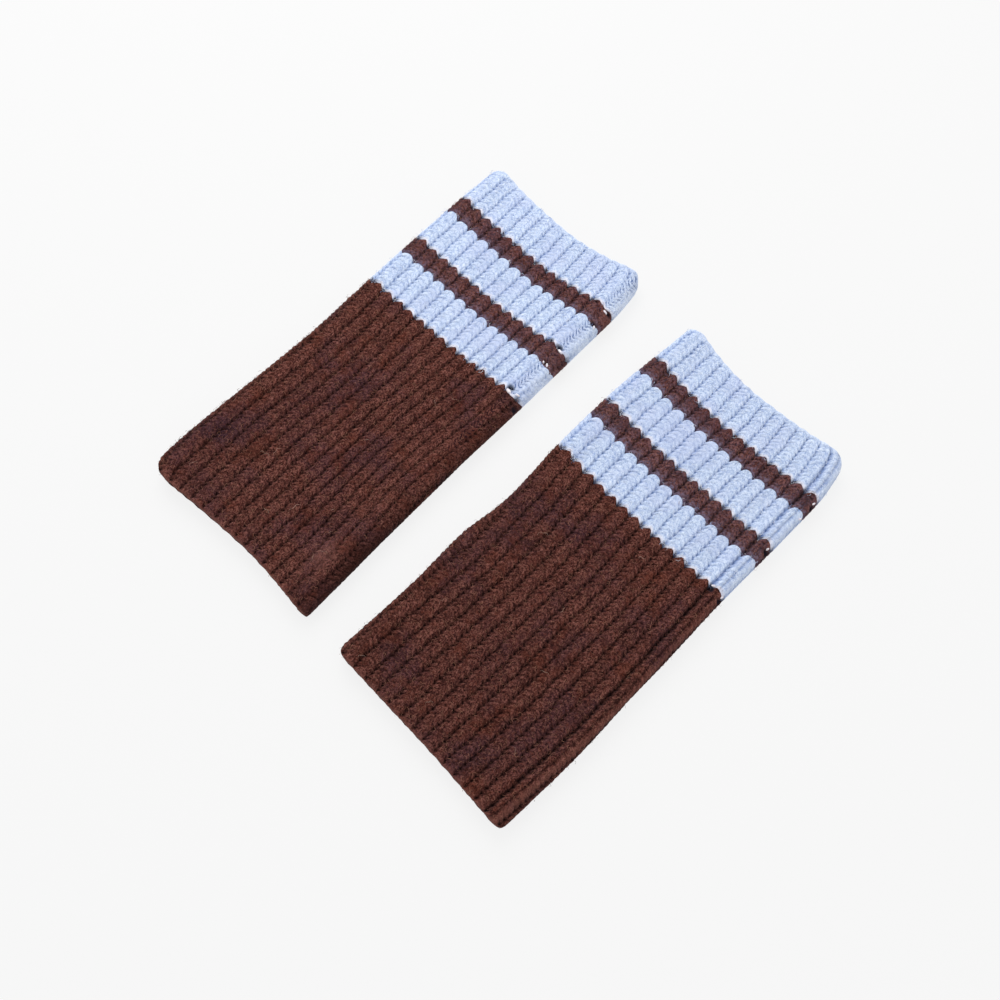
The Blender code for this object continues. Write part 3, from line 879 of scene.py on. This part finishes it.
def woolMaterial(yarn):
    wool = wools[yarn]
    material, shader, nodes = newMaterial(yarn + "_wool_knit", 0.9, wool["shine"], wool["sheen"])
    ease, bell, noise = nodes.ease, nodes.bell, nodes.noise

    def mark(name):
        return nodes.add("ShaderNodeAttribute", {"attribute_name": name}, output="Fac")

    place = nodes.add("ShaderNodeTexCoord", output="Object")
    wale, course, groove, change = mark("wale"), mark("course"), mark("groove"), mark("change")
    # fibres lie along the strands, whose rows the course counts
    strands = noise(nodes.vector(wale * 1.8, course * 3.4, 0.0), 1.0, 3.0, 0.6)
    slant = ease(nodes.maths("FRACT", wale + 1000.0), 0.45, 0.55) * 2 - 1
    streaks = noise(nodes.vector(wale * 8.0 + slant * course, course * 1.1, 4.0), 1.0, 2.0, 0.6)
    # specks and patches of the wool, from fine to broad: scale, detail, roughness, seed
    grain = noise(place, 1800.0, 2.0, 0.75)
    charred = noise(place, 1250.0, 2.0, 0.6, 21.0)
    reds = noise(place, 1100.0, 2.0, 0.6, 27.0)
    tufts = noise(place, 900.0, 2.0, 0.6, 3.0)
    lumps = noise(place, 380.0, 2.0, 0.6, 9.0)
    clumps = noise(place, 190.0, 3.0, 0.65, 12.0)
    flushes = noise(place, 95.0, 3.0, 0.6, 17.0)
    patches = noise(place, 60.0, 2.0, 0.5, 5.0)
    speckle = grain * 0.42 + strands * 0.06 + streaks * 0.28 + tufts * 0.12 + lumps * 0.12
    uneven = ease(lumps, 0.3, 0.62)
    # painted shade in the deep groove and the crease beside it
    fromDeep, outer = mark("fromDeep"), mark("outer")
    creases = bell(fromDeep, 0.12) * 0.75 + bell(fromDeep - creaseAfter, 0.06) * 0.7
    creases = creases * outer
    # painted shade: dark lines in the grooves and holes, and flecks in the creases of stitches
    lines = groove * wool["grooves"] * between(tufts, 1.3, 0.6) + mark("hole") * 0.4
    flecks = mark("crease") * between(ease(grain, 0.4, 0.6), 0.5, 0.12)
    # the ticks of the seam, and small dashes beside it
    own = (lumps - 0.5) * 1.2
    arms, tick = seamSteps(nodes, course, mark("ladder"))
    ticks = bell(tick + own, 0.2) * bell(arms - 0.36 + own * 0.5, 0.34)
    ticks = ticks * ease(tufts, 0.62, 0.44) * 2.4 * mark("purl")
    dashes = ease(grain * 0.6 + tufts * 0.4, 0.53, 0.6) * 0.55 * mark("beside")
    # blue hairs over the stripes, most in their last courses
    low = between(ease(change, -1.9, -0.1), 0.45, 1.7)
    # each layer goes a share of the way to its colour, over those before it
    layers = [
        (ease(speckle, 0.46, 0.60) * wool["speckles"][0], "pale"),
        (ease(speckle, 0.50, 0.39) * wool["speckles"][1], "deep"),
        (ease(patches, 0.46, 0.66) * 0.5 + mark("cast") * lumps * 0.9, "cast"),
        (ease(flushes, 0.5, 0.68) * wool["flushes"], "flush"),
        (ease(reds, 0.54, 0.64) * wool["reds"], "flush"),
        (ease(clumps, 0.5, 0.36) * wool["clumps"], "deep"),
        (ease(charred, 0.48, 0.38) * wool["charred"], "deep"),
        (ease(charred, 0.57, 0.66) * wool["charred"] * 0.6, "pale"),
        # painted shade: lines in the grooves and holes, flecks in the stitch creases
        ((lines + flecks) * (1 - mark("stitchTone") * 0.35), "deep"),
        # painted light on the strip between the crease and the right fold
        (bell(fromDeep - creaseAfter - 0.26, 0.14) * 0.35 * outer, "pale"),
        # painted shade in the deep groove and the crease beside it
        (creases * between(ease(lumps, 0.35, 0.62), 1.2, 0.45), "deep"),
        (ticks + dashes, "tick"),
        (ease(change, -0.75, -0.1) * (1 - mark("valley")) * (0.35 + uneven * 0.4), "halo"),
        # painted shade: a notch in each valley of the last courses before a change
        (ease(change, -0.95, -0.45) * mark("valley") * (1.2 - uneven * 0.4), "notch"),
        (mark("veil") * (ease(tufts, 0.35, 0.65) * 0.9 + 0.15) * low, "veil"),
        # pale places and the pale rim; at the fold flanks of the blue bands this is painted light
        (mark("pale") * between(ease(speckle, 0.42, 0.54), 0.3, 0.9) + mark("rim") * 0.4, "pale"),
        # painted shade along the folds, in some patches and over the lower right warmer
        (mark("shade") * 0.9, "deep"),
        # painted shade in small openings between stitches
        (mark("pit") * 1.1, "pit"),
    ]
    colour = (*wool["main"], 1)
    for share, name in layers:
        colour = nodes.mix(share, colour, (*wool[name], 1))
    height = strands * 0.4 + grain * 0.5 + tufts * 0.6 - creases * 1.2
    bump = nodes.add("ShaderNodeBump", None, {"Strength": 0.8, "Distance": 0.0005, "Height": height})
    nodes.feed(shader, {"Base Color": colour, "Roughness": 0.86 + grain * 0.12, "Normal": bump})
    return material


def fibreMaterials(yarn):
    made = []
    for place, colour in enumerate(wools[yarn]["fibres"]):
        material, shader, nodes = newMaterial(f"{yarn}_wool_fibre_{place + 1}", 0.85, wools[yarn]["shine"])
        nodes.feed(shader, {"Base Color": (*colour, 1)})
        made.append(material)
    return made


trees, fuzzes = {}, {}
for yarn in wools:
    trees[yarn] = knitTree(woolMaterial(yarn))
    fuzzes[yarn] = fuzzTree(yarn, fibreMaterials(yarn))
print("wools and trees made")


def shiftToCad(warmer):
    # how far the turned warmer moves, so that its middle in the plan is the CAD warmer's
    y = np.linspace(100, -100, 401)
    s = np.linspace(0, tube["ribs"], 169)[None, :]
    x, outX = middleSurface(warmer, s, y)[::2]
    lift = courseLift(warmer, x, y)
    plan = np.stack([x + outX * tube["wall"] / 2, y[:, None] + lift], axis=-1)
    plan = turned(plan.reshape(-1, 2), warmer["turn"])
    middle = (plan.min(axis=0) + plan.max(axis=0)) / 2
    boxes = np.array([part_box(f"{warmer['name']}_{stretch['name']}") for stretch in stretches])
    cadMiddle = (boxes[:, 0].min(axis=0) + boxes[:, 1].max(axis=0))[:2] / 2 / mm
    return np.append(cadMiddle - middle, 0.0)


pieces, shifts = {}, {}
for warmer in (left, right):
    shift = shifts[warmer["name"]] = shiftToCad(warmer)
    print(warmer["name"], "warmer goes", shift.round(3), "mm")
    for number, stretch in enumerate(stretches):
        node, yarn = f"{warmer['name']}_{stretch['name']}", stretch["yarn"]
        mesh = stretchMesh(node + "_shell", warmer, number, shift)
        asked = {**knit[yarn], **warmer["deepGroove"], "Seed": number + 3}
        piece = grown(node + "_knit", mesh, trees[yarn], asked)
        asked = {**fuzz, "Seed": 20 + number}
        hairs = grown(node + "_fuzz", piece.data.copy(), fuzzes[yarn], asked)
        pieces[node] = (piece, hairs)
        print(node, len(piece.data.polygons), "faces,", len(hairs.data.polygons), "in its fuzz")


# loose ends: pale loops over the seam, and pale hairs caught in the wool
looseEnds = {
    "loopSides": 8,
    "loopRings": 7,
    "loopLift": 0.35,
    "loopDrop": 0.7,
    "hairSides": 4,
    "hairRings": 9,
    "hairRadius": 0.06,
    "hairLift": 0.3,
}


def heightFinder(warmer):
    # how high the top of the warmer's knitting is at a place on the surface, in millimetres
    graph = bpy.context.evaluated_depsgraph_get()
    found = [pieces[f"{warmer['name']}_{stretch['name']}"][0] for stretch in stretches]
    searches = [BVHTree.FromObject(piece, graph) for piece in found]

    def height(plan):
        start = Vector((*(plan[:2] * mm), 0.05))
        hits = [search.ray_cast(start, Vector((0, 0, -1)))[0] for search in searches]
        return max([hit.z for hit in hits if hit] or [0]) / mm

    return height


def roundStrand(path, radii, sides):
    # a closed round strand along the path
    ahead = np.gradient(path, axis=0)
    ahead /= np.linalg.norm(ahead, axis=1)[:, None]
    beside = np.cross(ahead, (0, 0, 1))
    beside /= np.linalg.norm(beside, axis=1)[:, None]
    above = np.cross(beside, ahead)
    angles = np.arange(sides) * 2 * pi / sides
    rims = beside[:, None] * np.cos(angles)[:, None] + above[:, None] * np.sin(angles)[:, None]
    points = (path[:, None] + rims * radii[:, None, None]).reshape(-1, 3)
    faces, last = [], len(points) - sides
    for rim in range(0, last, sides):
        after = rim + sides
        faces += [(rim + k, after + k, after + (k + 1) % sides, rim + (k + 1) % sides) for k in range(sides)]
    return points, [*faces, tuple(range(sides)), tuple(range(last, last + sides))[::-1]]


def strandPiece(name, strands, material):
    points, faces, start = [], [], 0
    for somePoints, someFaces in strands:
        points.append(somePoints)
        faces += [tuple(start + k for k in face) for face in someFaces]
        start += len(somePoints)
    mesh = roundedMesh(name, np.concatenate(points) * mm, faces)
    mesh.materials.append(material)
    return inScene(name, mesh)


def laidPath(warmer, x, y, turn, along, aside=0):
    # a path in the warmer's own plan, turned and moved with it
    path = np.stack([along, aside + 0 * along, 0 * along], axis=1)
    return turned(turned(path, turn) + (x, y, 0), warmer["turn"]) + shifts[warmer["name"]]


def seamLoops(warmer, height):
    for x, y, turn, length, width in warmer["loops"]:
        t = np.linspace(-1, 1, looseEnds["loopRings"])
        path = laidPath(warmer, x, y, turn, t * length / 2)
        top = max(height(point) for point in path)
        path[:, 2] = top + looseEnds["loopLift"] - width / 2 - looseEnds["loopDrop"] * t**4
        radii = width / 2 * np.sqrt(1.02 - t**4)
        yield roundStrand(path, radii, looseEnds["loopSides"])


def paleHairs(warmer, height):
    for x, y, turn, length, curl in warmer["hairs"]:
        t = np.linspace(0, 1, looseEnds["hairRings"])
        aside = curl * (np.sin(pi * t) - 0.5 + 0.3 * np.sin(3 * pi * t))
        path = laidPath(warmer, x, y, turn, (t - 0.5) * length, aside)
        heights = np.array([height(point) for point in path])
        eased = np.convolve(np.pad(heights, 1, "edge"), [0.3, 0.4, 0.3], "valid")
        heights = np.maximum(heights, eased)
        path[:, 2] = heights + looseEnds["hairLift"] * np.sin(pi * t) ** 0.5 - 0.05
        radii = looseEnds["hairRadius"] * (0.5 + 0.5 * np.sin(pi * t))
        yield roundStrand(path, radii, looseEnds["hairSides"])


def strandMaterial(name, first, second, scale):
    material, shader, nodes = newMaterial(name, 0.85, 0.15)
    place = nodes.add("ShaderNodeTexCoord", output="Object")
    speckle = nodes.ease(nodes.noise(place, scale, 2.0, 0.6), 0.35, 0.65)
    colour = nodes.mix(speckle, (*first, 1), (*second, 1))
    nodes.feed(shader, {"Base Color": colour})
    return material


loopWool = strandMaterial("pale_loop_wool", (0.62, 0.58, 0.66), (0.90, 0.86, 0.88), 1400.0)
hairWool = strandMaterial("pale_hair_wool", (0.26, 0.15, 0.11), (0.48, 0.34, 0.27), 400.0)
loose = []
for warmer in (left, right):
    height = heightFinder(warmer)
    loops = strandPiece(warmer["name"] + "_seam_loops", seamLoops(warmer, height), loopWool)
    hairs = strandPiece(warmer["name"] + "_pale_hairs", paleHairs(warmer, height), hairWool)
    loose += [(loops, "blue"), (hairs, "brown")]
print("loose ends laid")


def roundTheTube(warmer):
    # how far it is round the middle of the wall, halfway along
    s = np.linspace(0, tube["ribs"], 400)[None, :]
    x, z = middleSurface(warmer, s, np.array([0.0]))[:2]
    return float(np.hypot(np.diff(x[0]), np.diff(z[0])).sum()) * mm


for warmer in (left, right):
    width = roundTheTube(warmer)
    for number, stretch in enumerate(stretches):
        node = f"{warmer['name']}_{stretch['name']}"
        piece, hairs = pieces[node]
        for each in (piece, hairs):
            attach(each, "root")
        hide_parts(node)
for piece, yarn in loose:
    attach(piece, "root")
    yarn + "_wool"

# floor, light and camera
studio = {
    "floor": 0.1,
    "floorGlow": 0.8215,
    "floorReach": 3.0,
    "floorTop": -2e-5,
    "world": 0.78,
    "keyFrom": (-0.46, 0.33, 0.6),
    "keyEnergy": 4.85,
    "keySize": 0.59,
    "azimuth": 43.8,
    "elevation": 69.6,
    "distance": 0.3914,
    "target": (0.00875, -0.0115, 0.0),
    "lens": 35.0,
}
reach, top = studio["floorReach"], studio["floorTop"]
floorCorners = [(x * reach, y * reach, top) for x, y in ((-1, -1), (1, -1), (1, 1), (-1, 1))]
floorMesh = roundedMesh("floor", np.array(floorCorners), [(0, 1, 2, 3)])
floor = inScene("floor", floorMesh)
paper, paperShader, paperNodes = newMaterial("pale_floor", 1.0, 0.0)
pale = (studio["floor"],) * 3 + (1,)
glow = {"Emission Color": (1, 1, 1, 1), "Emission Strength": studio["floorGlow"]}
paperNodes.feed(paperShader, {"Base Color": pale, **glow})
floorMesh.materials.append(paper)
floor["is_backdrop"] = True

world = bpy.data.worlds.new("studio")
bpy.context.scene.world = world
world.use_nodes = True
light = {"Color": (1, 1, 1, 1), "Strength": studio["world"]}
Nodes(world.node_tree).feed(world.node_tree.nodes["Background"], light)

key = bpy.data.lights.new("key", "AREA")
key.energy, key.size = studio["keyEnergy"], studio["keySize"]
keyLight = inScene("key", key)
keyLight.location = studio["keyFrom"]
keyLight.rotation_euler = (-Vector(studio["keyFrom"])).to_track_quat("-Z", "Y").to_euler()

azimuth, elevation = radians(studio["azimuth"]), radians(studio["elevation"])
back = Vector((sin(azimuth) * cos(elevation), -cos(azimuth) * cos(elevation), sin(elevation)))
camera = bpy.data.cameras.new("camera")
camera.lens, camera.sensor_width = studio["lens"], 36.0
camera.clip_start, camera.clip_end = 0.01, 20.0
eye = inScene("camera", camera)
eye.location = Vector(studio["target"]) + back * studio["distance"]
eye.rotation_euler = (-back).to_track_quat("-Z", "Y").to_euler()
bpy.context.scene.camera = eye
bpy.context.scene.view_settings.view_transform = "Standard"
print("floor, light and camera set")

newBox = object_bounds()
boxes = {"cad": cadBox, "visual": newBox}
{name: [list(corner) for corner in box] for name, box in boxes.items()}
